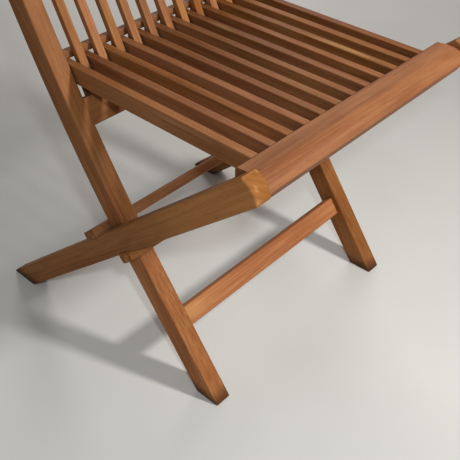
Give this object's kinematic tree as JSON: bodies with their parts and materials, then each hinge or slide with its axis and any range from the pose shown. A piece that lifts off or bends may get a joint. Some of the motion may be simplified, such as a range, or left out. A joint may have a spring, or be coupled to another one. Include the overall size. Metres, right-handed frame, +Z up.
{
  "type": "folding chair",
  "caption": "Slatted wooden folding chair: stiles run from front feet to backrest, rear legs cross them at a pivot and carry the front rail, and the slatted seat tips up to fold flat.",
  "frame": {"origin": "on the floor under the middle of the open chair's bounding box", "axes": "+Z up, the sitter faces -Y, +X is to the right of a viewer who looks along +Y; the chair is symmetric in X"},
  "size_m": [0.492, 0.6308, 0.8818],
  "materials": {
    "teak": "oiled, satin",
    "steel": "satin"
  },
  "bodies": {
    "back_frame": {"left_stile": "teak", "right_stile": "teak", "front_stretcher": "teak", "lower_back_rail": "teak", "top_rail": "teak", "back_slat_01": "teak", "back_slat_02": "teak", "back_slat_03": "teak", "back_slat_04": "teak", "back_slat_05": "teak", "back_slat_06": "teak", "back_slat_07": "teak", "back_slat_08": "teak", "back_slat_09": "teak", "back_slat_10": "teak", "back_slat_11": "teak", "hinge_rod": "steel"},
    "seat": {"seat_slat_01": "teak", "seat_slat_02": "teak", "seat_slat_03": "teak", "seat_slat_04": "teak", "seat_slat_05": "teak", "seat_slat_06": "teak", "seat_slat_07": "teak", "seat_slat_08": "teak", "seat_slat_09": "teak", "seat_slat_10": "teak", "seat_slat_11": "teak", "seat_slat_12": "teak", "rear_batten": "teak"},
    "rear_frame": {"left_rear_leg": "teak", "right_rear_leg": "teak", "front_rail": "teak", "upper_stop_bar": "teak", "lower_stop_bar": "teak", "left_pivot_pin": "steel", "right_pivot_pin": "steel"}
  },
  "joints": [
    {"name": "leg_fold", "type": "hinge", "parent": "back_frame", "child": "rear_frame", "pos_m": [0, -0.04981, 0.22511], "axis": [-1, 0, 0], "range_deg": [0, 68.5]},
    {"name": "seat_fold", "type": "hinge", "parent": "back_frame", "child": "seat", "pos_m": [0, 0.0645, 0.433], "axis": [-1, 0, 0], "range_deg": [0, 117.5]}
  ],
  "couplings": [
    {"joint": "seat_fold", "follows": "leg_fold", "ratio": 1.714}
  ]
}
